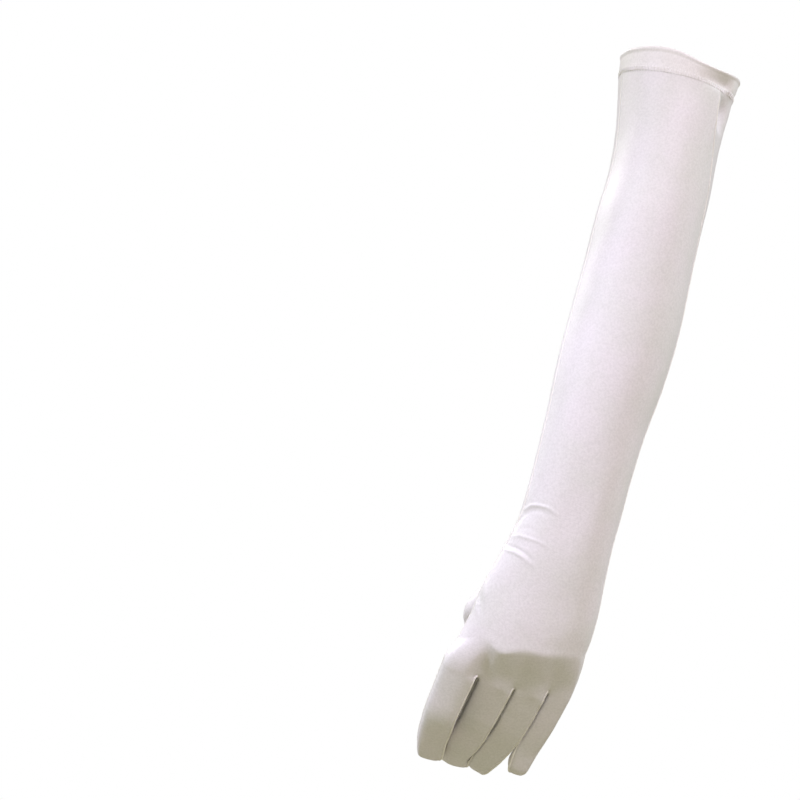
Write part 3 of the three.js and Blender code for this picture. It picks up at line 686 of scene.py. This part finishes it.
def vertex_normals(points, faces):
    a, b, c, d = (points[corner] for corner in faces.T)
    diagonals = np.cross(c - a, d - b)
    sums = np.zeros_like(points)
    for k in range(4):
        np.add.at(sums, faces[:, k], diagonals)
    # Vertices inside the thumb's window have no face, and so no normal.
    return sums / np.maximum(np.linalg.norm(sums, axis=1, keepdims=True), 1e-12)


# Folds, joint wrinkles and the soft unevenness of stretched satin

DEGREE = 0.45  # length of a degree round the glove where folds are measured
SLEEVE_RADIUS = 34
# Creases at a finger's joints: how far beyond the joint and how deep
PALM_CREASES = [(-4.4, 0.12), (-1.9, 0.26), (0.6, 0.32), (3.1, 0.2)]
BACK_CREASES = [(-4.2, 0.12), (-2.0, 0.2), (0.4, 0.22), (2.9, 0.18), (5.0, 0.12)]
# The side towards the thumb of three fingers lies nearly as high as the finger before it.
RAISED = dict(fingers=("middle", "ring", "little"), angle=140, reach=24, height=0.8, fade=8)


def bell(x, width):
    return np.exp(-((x / width) ** 2))


def turn_from(middle, degrees):
    """The turn from one angle round the glove to another, the shorter way."""
    return (degrees - middle + 540) % 360 - 180


def around(degrees, middle, reach):
    """1 at an angle round the glove, falling smoothly to 0 at a distance from it."""
    return 0.5 + 0.5 * np.cos(np.pi * np.minimum(np.abs(turn_from(middle, degrees)) / reach, 1))


def swell_height(degrees, z):
    height = np.zeros_like(z)
    for swell in SWELLS:
        turn = turn_from(swell["around"], degrees)
        share = np.minimum(np.abs(turn) / np.where(turn > 0, swell["thumb_reach"], swell["back_reach"]), 1)
        height += swell["depth"] * bell(z - swell["along"], swell["width"]) * (1 - share**2) ** 2
    return height


def line_height(degrees, z, width, depth, *line):
    """A fold along a line, which fades out at both ends."""
    here = np.stack([((degrees + 30) % 360 - 30) * DEGREE, z], -1)
    line = np.reshape(line, (-1, 2)) * (DEGREE, 1)
    lengths = np.linalg.norm(np.diff(line, axis=0), axis=1)
    nearest, share = np.full(len(z), 1e9), np.zeros(len(z))
    gone = 0
    for a, b, length in zip(line, line[1:], lengths):
        t = np.clip((here - a) @ (b - a) / length**2, 0, 1)
        away = np.linalg.norm(here - a - t[:, None] * (b - a), axis=1)
        closer = away < nearest
        nearest = np.where(closer, away, nearest)
        share = np.where(closer, (gone + t * length) / lengths.sum(), share)
        gone += length
    return depth * bell(nearest, width) * np.sin(np.pi * share) ** 0.7


def relief(degrees, z):
    return swell_height(degrees, z) + sum(line_height(degrees, z, *fold) for fold in FOLDS)


def ripples(x, y, size, seed):
    """Smooth unevenness between about -1 and 1, of bumps of a size."""
    rng = np.random.default_rng(seed)
    total = np.zeros_like(x)
    for _ in range(7):
        turn, phase = rng.uniform(0, 2 * math.pi, 2)
        length = size * rng.uniform(0.8, 1.9)
        total += np.sin(2 * math.pi * (x * math.cos(turn) + y * math.sin(turn)) / length + phase)
    return total / 4


def spots(region):
    """The spot of each fine vertex that a face of a region uses, and which vertices those are."""
    found, used = np.zeros((len(co), 3)), np.zeros(len(co), bool)
    faces = np.round(spot_of[:, 0, 2]) == region
    found[quads[faces].ravel()] = spot_of[faces].reshape(-1, 3)
    used[quads[faces].ravel()] = True
    return found, used


def body_height():
    spot, used = spots(REGION["body"])
    angle, z = spot[:, 0], spot[:, 1]
    height = relief(angle, z)
    # Gathers where the pucker beside the little-finger seam meets the hem
    height += 0.4 * np.sin(angle * 1.4 + z * 0.25) * around(angle, 30, 24) * bell(z + 19, 7)
    x = np.radians(angle) * SLEEVE_RADIUS
    height += 0.1 * ripples(x, z * 0.45, 16, 3) * np.clip((-z - 12) / 20, 0, 1)
    height += 0.035 * ripples(x, z, 5.5, 4)
    return np.where(used, height, 0)


def finger_height(root, number):
    line = thumb if root["name"] == "thumb" else fingers[number - 1]
    spot, used = spots(number)
    angle, s = spot[:, 0], spot[:, 1]
    turn = np.radians(angle)
    palm, back = np.clip(-np.sin(turn), 0, 1), np.clip(np.sin(turn), 0, 1)
    bow = 1.2 * np.cos(turn) ** 2
    height = np.zeros(len(co))
    for end in line.ends[:-1]:
        for off, depth in PALM_CREASES:
            height -= depth * palm**0.8 * bell(s - end - off - bow, 0.95)
        for off, depth in BACK_CREASES:
            height -= depth * back**0.5 * bell(s - end - off + bow, 0.7)
    height += 0.07 * ripples(turn * root["half"] + 40 * number, s * 0.6, 6, 9 + number)
    if root["name"] in RAISED["fingers"]:
        left = np.clip((line.total - line.cap - s) / RAISED["fade"], 0, 1)
        height += RAISED["height"] * bell(angle - RAISED["angle"], RAISED["reach"]) * left
    return np.where(used, height * np.clip(s / 4, 0, 1), 0)


height = body_height()
for number, root in enumerate([*FINGERS, THUMB], 1):
    height += finger_height(root, number)
co += vertex_normals(co, quads) * height[:, None]
normals = vertex_normals(co, quads)

# Pieces: closed shells of cloth with turned edges along their seams

BORDER = 0.95  # width of the border along a seam (mm)
# Each row of a piece's edge: how far it keeps from the seam line, as a share of the border's width, and how
# far it stands out (mm), elsewhere and at the hem.
EDGE = [(0.72, 0.12, 0), (0.45, 0.17, 0), (0.22, 0.08, -0.02), (0.12, -0.12, -0.12)]
BORDER_SHARE = 0.4  # of an edge that runs into the border, at most this is taken up by it
HEM_ZONE = -25  # height down to which an edge across the sleeve is the hem's


def next_on_border(faces):
    """The vertex that follows each vertex on the open edges of some faces, and the face and its corner."""
    edges = {}
    for index, face in enumerate(faces.tolist()):
        for k in range(4):
            edges[face[k], face[(k + 1) % 4]] = (index, k)
    return {a: (b, *where) for (a, b), where in edges.items() if (b, a) not in edges}


class Pieces:
    """Meshes in the making: points in millimetres, quads and their places on the flat cloth."""

    def __init__(self):
        self.points, self.quads, self.cloth = [], [], []
        self.count = 0

    def add(self, points):
        self.points.append(np.asarray(points))
        self.count += len(points)
        return np.arange(self.count - len(points), self.count)

    def join(self, rings, closed=True):
        """Quads from each ring of points to the next, and from the last to the first if closed."""
        after = np.roll(rings, -1, 0)
        quads = np.stack([rings, np.roll(rings, -1, 1), np.roll(after, -1, 1), after], -1)
        self.quads.append(quads[: len(rings) if closed else -1].reshape(-1, 4))

    def made(self, name):
        mesh = bpy.data.meshes.new(name)
        mesh.from_pydata(np.concatenate(self.points) * MM, [], np.concatenate(self.quads).tolist())
        if self.cloth:
            corner_values(mesh, "cloth", np.concatenate(self.cloth).reshape(-1, 3) * MM)
        mesh.polygons.foreach_set("use_smooth", np.ones(len(mesh.polygons), bool))
        return add_object(name, mesh)


def shell(name, index):
    chosen = piece_of == index
    used, local = np.unique(quads[chosen], return_inverse=True)
    faces = local.reshape(-1, 4)
    cloth = cloth_of[chosen]
    places, out = co[used], normals[used]
    follows = next_on_border(faces)
    border = np.array(list(follows))
    after, face, corner = np.array(list(follows.values())).T
    before, follower, row_of = np.full((3, len(used)), -1)
    before[after], follower[border], row_of[border] = border, after, np.arange(len(border))

    # Directions from the seam into the piece, and the room for the border there
    inward = unit(np.cross(out[border], places[after] - places[before[border]]))
    room = np.full(len(used), BORDER)
    for a, b in zip(faces.T, np.roll(faces, -1, 1).T):
        within = follower[a] != b
        length = BORDER_SHARE * np.linalg.norm(places[a] - places[b], axis=1)
        for end in (a, b):
            np.minimum.at(room, end[within], length[within])
    room = room[border, None]
    at_hem = (places[border, 2] > HEM_ZONE)[:, None] & (np.abs(inward[:, 2:]) > 0.7)

    def edge_row(share, height):
        return places[border] + inward * room * share + out[border] * height

    made = Pieces()
    outer = places.copy()
    outer[border] = edge_row(1, 0)
    top, under = made.add(outer), made.add(outer - out * CLOTH)
    rows = [top[border]]
    for share, height, plain in EDGE:
        rows.append(made.add(edge_row(share, np.where(at_hem, plain, height * room / BORDER))))
    rows += [made.add(edge_row(EDGE[-1][0], -CLOTH)), under[border]]
    made.quads += [top[faces], under[faces[:, ::-1]]]
    made.cloth += [cloth, cloth[:, ::-1]]
    ahead = row_of[after]
    edge_cloth = np.stack([cloth[face, (corner + 1) % 4], cloth[face, corner]], 1)
    for near, far in zip(rows, rows[1:]):
        made.quads.append(np.stack([near[ahead], near, far, far[ahead]], 1))
        made.cloth.append(np.concatenate([edge_cloth, edge_cloth[:, ::-1]], 1))
    return made.made(name)


pieces = {row["node"]: shell(row["name"], index) for index, row in enumerate(CLOTH_PIECES[:-1])}

# The turned hem with its zigzag stitches

HEM_DIPS = table("around reach depth", (60, 45, 2.4), (112, 42, -1.5), (176, 30, 1.6))
HEM_STEPS = 420
HEM_RADIUS = 36
# Out from the sleeve's surface (mm) and down the hem as a share of its width, once round the folded cloth
HEM_PROFILE = [
    (0.03, 1.035), (0.06, 1.02), (0.08, 0.97), (0.1, 0.9), (0.12, 0.8), (0.15, 0.7), (0.2, 0.58),
    (0.26, 0.45), (0.31, 0.34), (0.3, 0.25), (0.34, 0.19), (0.56, 0.14), (0.78, 0.085), (0.76, 0.035),
    (0.52, -0.005), (0.2, -0.02), (-0.15, -0.02), (-0.52, -0.01), (-0.86, 0.015), (-1.02, 0.06),
    (-1.02, 0.12), (-0.96, 0.3), (-0.98, 0.55), (-1.0, 0.8), (-1.02, 0.94), (-0.9, 0.985), (-0.66, 0.985),
    (-0.56, 0.93), (-0.54, 0.8), (-0.5, 0.5), (-0.48, 0.25), (-0.46, 0.13), (-0.4, 0.075), (-0.26, 0.06),
    (-0.12, 0.08), (-0.08, 0.14), (-0.08, 0.25), (-0.1, 0.5), (-0.16, 0.75), (-0.26, 0.9), (-0.48, 0.96),
    (-0.46, 0.99), (-0.2, 1.0),
]  # fmt: skip


def hem_rim(degrees):
    """How far the rim dips here (mm)."""
    shares = [clamp(turn_from(row["around"], degrees) / row["reach"], -1) for row in HEM_DIPS]
    return sum(row["depth"] * (1 - share * share) ** 2 for row, share in zip(HEM_DIPS, shares))


def hem_wave(degrees):
    """Slight waves of the hem where it isn't quite flat on the arm."""
    return 0.16 * math.sin(math.radians(degrees * 7 + 40)) + 0.1 * math.sin(math.radians(degrees * 17))


def on_sleeve(turns, places, outs):
    """Points at angles round the sleeve and places down it, lifted off its uneven surface."""
    sections = [section_at(place) for place in places]
    heights = relief(turns, np.array([section["z"] for section in sections]))
    heights += [hem_wave(turn) * clamp(1 - place / HEM_WIDTH) for turn, place in zip(turns, places)]
    return [on_section(*each) for each in zip(sections, turns, outs + heights)]


def hem():
    made = Pieces()
    size = len(HEM_PROFILE)
    k, p = np.divmod(np.arange(HEM_STEPS * size), size)
    turns = k * 360 / HEM_STEPS
    outs, downs = np.array(HEM_PROFILE)[p].T
    places = [mix(hem_rim(turn), HEM_WIDTH + 0.05, down) for turn, down in zip(turns, downs)]
    made.join(made.add(on_sleeve(turns, places, outs)).reshape(-1, size))
    steps = np.diff(np.array(HEM_PROFILE) * (1, HEM_WIDTH), axis=0)
    flat = np.append(0, np.cumsum(np.linalg.norm(steps, axis=1)))
    width = 2 * math.pi * HEM_RADIUS / HEM_STEPS
    square = ((0, 0), (0, 0.3), (1, 0.3), (1, 0))
    corners = [((k + across) * width, flat[p] + down, 0 * k) for across, down in square]
    made.cloth.append(np.transpose(corners, (2, 0, 1)))
    return made.made(CLOTH_PIECES[-1]["name"])


pieces["hem_band"] = hem()


def tube(made, line, up, radii, sides, closed=False):
    """A thread along a line of points, with a direction up and a radius at each (mm)."""
    along = unit(np.roll(line, -1, 0) - np.roll(line, 1, 0) if closed else np.gradient(line, axis=0))
    across = unit(np.cross(along, up))
    up = np.cross(across, along)
    turns = 2 * math.pi * np.arange(sides) / sides
    radii = np.broadcast_to(radii, len(line))[:, None, None]
    circle = across[:, None] * np.cos(turns)[:, None] + up[:, None] * np.sin(turns)[:, None]
    ids = made.add((line[:, None] + radii * circle).reshape(-1, 3)).reshape(-1, sides)
    made.join(ids, closed)
    if closed:
        return
    for at, step in ((0, -1), (-1, 1)):
        end = made.add([line[at]])[0]
        for k in range(0, sides, 2):
            corners = [end, *(ids[at][(k + i) % sides] for i in range(3))]
            made.quads.append(np.array([corners[::step]]))


STITCH_ROW = dict(place=HEM_WIDTH - 0.5, height=3.2, step=1.05, thread=0.17)


def hem_stitches():
    made = Pieces()
    row = STITCH_ROW
    middle = section_at(row["place"])
    strokes = 2 * round(math.pi * (middle["half"] + middle["back"]) / row["step"] / 2)
    shift = np.random.default_rng(5).uniform(-0.12, 0.12, (strokes, 2))
    k, t = np.repeat(np.arange(strokes), 4), np.tile((0, 0.25, 0.5, 0.75), strokes)
    turns = 360 * (k + t + mix(shift[k, 0], shift[(k + 1) % strokes, 0], t)) / strokes
    places = row["place"] + (-1.0) ** k * (1 - 2 * smooth(t)) * row["height"] / 2 + shift[k, 1]
    below = np.clip((places - row["place"]) / 1.2 + 0.5, 0, 1)
    outs = mix(0.14, 0.02, below) + 0.05 + 0.12 * np.sin(math.pi * t)
    line = np.array(on_sleeve(turns, places, outs))
    up = np.array(on_sleeve(turns, places, outs + 5)) - line
    tube(made, line, up, row["thread"], 6, closed=True)
    return made.made("hem_stitches")


stitches = hem_stitches()

# Welts: the cord-like seams round the finger slits, and the finer seams down both sides of the glove

WELT_RADII = dict(back=0.65, palm=0.42, side=0.36)


def seam_lines(first, second):
    """The fine vertices along each seam of two pieces, in order."""
    edges, others = (next_on_border(quads[piece_of == PIECES.index(node)]) for node in (first, second))
    follows = {a: b for a, (b, *_) in edges.items() if others.get(b, (None,))[0] == a}
    lines = []
    for start in sorted(set(follows) - set(follows.values())):
        lines.append([start])
        while lines[-1][-1] in follows:
            lines[-1].append(follows[lines[-1][-1]])
    return sorted(map(np.array, lines), key=len)


def welt(side, name, line):
    radius = WELT_RADII[side]
    made = Pieces()
    steps = np.arange(len(line))
    radii = radius * (0.35 + 0.65 * np.clip(np.minimum(steps, steps[::-1]) / 10, 0, 1))
    wander = 1 + 0.08 * np.sin(steps * 0.9)
    tube(made, co[line] + normals[line] * radius * 0.35, normals[line], radii * wander, 8)
    return made.made(f"{side}_welt_{name}")


back_welts, palm_welts = [], []
for node in PIECES[2:5]:
    for side, made in (("back", back_welts), ("palm", palm_welts)):
        made.append(welt(side, node.replace("gusset_", ""), seam_lines(f"{side}_panel", node)[-1]))
sides = sorted(seam_lines("back_panel", "palm_panel")[-2:], key=lambda line: co[line, 0].mean())
side_welts = [welt("side", name, line) for name, line in zip(("thumb", "little_finger"), sides)]

# Materials

THREAD_RELIEF = 0.00004
# Painted shade darkens the cloth in the finger slits fully up to the first place along it, and not beyond
# the second (m).
SLIT_PAINTED_SHADE = (0.034, 0.052)


def nodes_of(name):
    material = bpy.data.materials.new(name)
    material.use_nodes = True
    return material, material.node_tree, material.node_tree.nodes["Principled BSDF"]


def connect(tree, node, sockets):
    """Sets inputs of a node, by name or number, to a value or to what another node gives."""
    for key, value in sockets.items():
        if isinstance(value, bpy.types.NodeSocket):
            tree.links.new(value, node.inputs[key])
        else:
            node.inputs[key].default_value = value


def add_node(tree, kind, sockets, **settings):
    node = tree.nodes.new("ShaderNode" + kind)
    for key, value in settings.items():
        setattr(node, key, value)
    connect(tree, node, sockets)
    return node.outputs


def in_range(tree, value, low, high, to_low=0.0, to_high=1.0):
    """A value stretched from one range to another, and held to it."""
    sockets = {"Value": value, "From Min": low, "From Max": high, "To Min": to_low, "To Max": to_high}
    return add_node(tree, "MapRange", sockets)["Result"]


def two_tones(tree, share, first, second, low=0.0, high=1.0):
    """A colour between two, which are met at a low and a high share."""
    made = add_node(tree, "ValToRGB", {"Fac": share})
    ramp = made["Color"].node.color_ramp
    for element, colour, place in zip(ramp.elements, (first, second), (low, high)):
        element.color, element.position = (*colour, 1), place
    return made["Color"]


def scaled(tree, colour, share):
    return add_node(tree, "VectorMath", {0: colour, "Scale": share}, operation="SCALE")["Vector"]


def noise(tree, where, scale, roughness):
    sockets = {"Vector": where, "Scale": scale, "Detail": 2.0, "Roughness": roughness}
    return add_node(tree, "TexNoise", sockets)["Fac"]


def waves(tree, where, direction, scale, distortion, detail=2.0, detail_scale=1.0):
    sockets = {"Vector": where, "Scale": scale, "Distortion": distortion}
    sockets |= {"Detail": detail, "Detail Scale": detail_scale}
    return add_node(tree, "TexWave", sockets, bands_direction=direction)["Fac"]


def bumped(tree, height, strength):
    sockets = {"Height": height, "Strength": strength, "Distance": THREAD_RELIEF}
    return add_node(tree, "Bump", sockets)["Normal"]


def satin_material(name, light, dark, roughness, painted_shade=None):
    """Satin: pale cloth with a soft sheen, faint pink and grey patches, a fine grain and a close weave.

    painted_shade is the share that cloth darkens to where its place along the cloth is near 0: painted shade
    for the finger slits.
    """
    material, tree, shader = nodes_of(name)
    where = add_node(tree, "TexCoord", {})["Object"]
    cloth = add_node(tree, "Attribute", {}, attribute_name="cloth")["Vector"]
    patches, grain = noise(tree, where, 38.0, 0.5), noise(tree, where, 760.0, 0.6)
    colour = two_tones(tree, patches, dark, light, 0.34, 0.66)
    colour = scaled(tree, colour, in_range(tree, grain, 0.3, 0.7, 0.93, 1.045))
    # Painted shade: the cloth darkens towards the slits.
    if painted_shade:
        along = add_node(tree, "SeparateXYZ", {"Vector": cloth})["Y"]
        away = add_node(tree, "Math", {0: along}, operation="ABSOLUTE")["Value"]
        colour = scaled(tree, colour, in_range(tree, away, *SLIT_PAINTED_SHADE, painted_shade, 1.0))
    # The weave follows the cloth: floats along the glove, crossed by finer ribs.
    floats = waves(tree, cloth, "DIAGONAL", 520.0, 1.2, 2.0, 1.5)
    ribs = waves(tree, cloth, "X", 900.0, 0.6, 1.0)
    woven = add_node(tree, "Math", {0: ribs, 1: 0.6, 2: floats}, operation="MULTIPLY_ADD")["Value"]
    grained = add_node(tree, "Math", {0: grain, 1: 1.3, 2: woven}, operation="MULTIPLY_ADD")["Value"]
    looks = {
        "Base Color": colour,
        "Roughness": in_range(tree, grain, 0.3, 0.7, roughness - 0.05, roughness + 0.07),
        "Normal": bumped(tree, grained, 0.5),
        "Specular IOR Level": 0.42,
        "Sheen Weight": 0.22,
        "Sheen Roughness": 0.45,
        "Sheen Tint": (1, 0.97, 1, 1),
        "Anisotropic": 0.35,
    }
    connect(tree, shader, looks)
    return material


satin = satin_material("satin", (0.84, 0.795, 0.85), (0.8, 0.775, 0.8), 0.46)
# The fourchettes: a warmer copy of the satin with painted shade, darkened to a tenth near the slits.
slit_painted_shade_satin = satin_material("satin_slit_painted_shade", (0.84, 0.79, 0.8), (0.8, 0.77, 0.74), 0.5, painted_shade=0.1)
# The welts: a lighter copy of the satin, a painted highlight for the light that their cords catch.
welt_painted_highlight_satin = satin_material("satin_welt_painted_highlight", (0.96, 0.93, 0.92), (0.93, 0.9, 0.88), 0.4)
# The hem band: a lighter copy of the same satin, painted light that brightens the hem.
hem_painted_light_satin = satin_material("satin_hem_painted_light", (0.93, 0.885, 0.93), (0.9, 0.865, 0.89), 0.44)

# Glossy sewing thread with a fine twist
thread, tree, shader = nodes_of("thread")
twist = waves(tree, add_node(tree, "TexCoord", {})["Object"], "DIAGONAL", 1500.0, 2.0)
looks = {
    "Base Color": two_tones(tree, twist, (0.84, 0.82, 0.83), (0.97, 0.95, 0.965)),
    "Normal": bumped(tree, twist, 0.4),
    "Roughness": 0.38,
    "Sheen Weight": 0.2,
}
connect(tree, shader, looks)

# What the pieces are


def dress(piece, material):
    piece.data.materials.append(material)
    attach(piece, "root")


for row in CLOTH_PIECES:
    node, flat = row["node"], (row["width"], row["length"])
    piece = pieces[node]
    dress(piece, {"hem_band": hem_painted_light_satin}.get(node, slit_painted_shade_satin if node.startswith("gusset") else satin))
    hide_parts(node)
for piece in back_welts + palm_welts + side_welts:
    dress(piece, welt_painted_highlight_satin)
dress(stitches, thread)

# Floor, light and camera

FLOOR_MIDDLE, FLOOR_RADIUS, FLOOR_SIDES = (-0.1, 0, -1.4), 2.5, 96
mesh = bpy.data.meshes.new("floor")
turns = np.linspace(0, 2 * math.pi, FLOOR_SIDES, endpoint=False)
ring = FLOOR_MIDDLE + FLOOR_RADIUS * np.stack([np.cos(turns), np.sin(turns), 0 * turns], 1)
mesh.from_pydata(ring, [], [list(range(FLOOR_SIDES))])
floor = add_object("floor", mesh)
paper, paper_tree, paper_shader = nodes_of("pale_floor")
connect(paper_tree, paper_shader, {"Base Color": (0.68, 0.665, 0.58, 1), "Roughness": 0.9})
floor.data.materials.append(paper)

# Round soft lights aimed at the hand. Azimuth 0 is in front, and below 0 is to the left.
LIGHTS = table(
    "name azimuth elevation distance size power colour",
    ("key", -60, 45, 1.25, 0.35, 0.7, (0.73, 0.765, 1.0)),
    ("right", 30, 42, 2.6, 0.5, 2.18, (0.875, 0.785, 1.0)),
    ("left_rim", -140, 30, 2.6, 0.5, 1.65, (1.0, 1.0, 1.0)),
    ("right_rim", 110, 40, 2.6, 0.5, 1.45, (0.78, 0.96, 1.0)),
)
LIGHT_SPREAD = 46
HAND = Vector((-0.1, -0.06, -0.31))
for row in LIGHTS:
    turn, rise = math.radians(row["azimuth"]), math.radians(row["elevation"])
    way = Vector((math.sin(turn) * math.cos(rise), -math.cos(turn) * math.cos(rise), math.sin(rise)))
    light = bpy.data.lights.new(row["name"], "AREA")
    light.shape, light.size, light.energy, light.color = "DISK", row["size"], row["power"], row["colour"]
    light.spread = math.radians(LIGHT_SPREAD)
    lamp = add_object(row["name"], light)
    lamp.visible_camera = False
    lamp.location = HAND + way * row["distance"]
    lamp.rotation_euler = (-way).to_track_quat("-Z", "Y").to_euler()

# The fill is bright and yellow from above, neutral from behind, dim and olive from below, and white to
# the camera.
BELOW, ABOVE, BEHIND = (0.3, 0.3, 0.245, 1), (0.6, 0.565, 0.365, 1), (0.4, 0.4, 0.41, 1)
world = bpy.data.worlds.new("studio")
world.use_nodes = True
tree = world.node_tree
fill = tree.nodes["Background"]
split = add_node(tree, "SeparateXYZ", {0: add_node(tree, "TexCoord", {})["Generated"]})
rise, behind = in_range(tree, split["Z"], -0.6, 0.8), in_range(tree, split["Y"], 0.0, 0.9)
front = add_node(tree, "Mix", {"Factor": rise, 6: BELOW, 7: ABOVE}, data_type="RGBA")[2]
all_round = add_node(tree, "Mix", {"Factor": behind, 6: front, 7: BEHIND}, data_type="RGBA")[2]
connect(tree, fill, {"Color": all_round})
white = add_node(tree, "Background", {"Color": (1, 1, 1, 1)})[0]
seen = add_node(tree, "LightPath", {})["Is Camera Ray"]
either = add_node(tree, "MixShader", {0: seen, 1: fill.outputs[0], 2: white})[0]
connect(tree, tree.nodes["World Output"], {"Surface": either})
bpy.context.scene.world = world
bpy.context.scene.view_settings.view_transform = "Standard"

lens = bpy.data.cameras.new("camera")
lens.lens, lens.sensor_width = 150, 36
camera = add_object("camera", lens)
camera.location = (-0.168, -2.0, -0.1985)
camera.rotation_euler = (math.radians(90), 0, 0)
bpy.context.scene.camera = camera

bpy.context.view_layer.update()
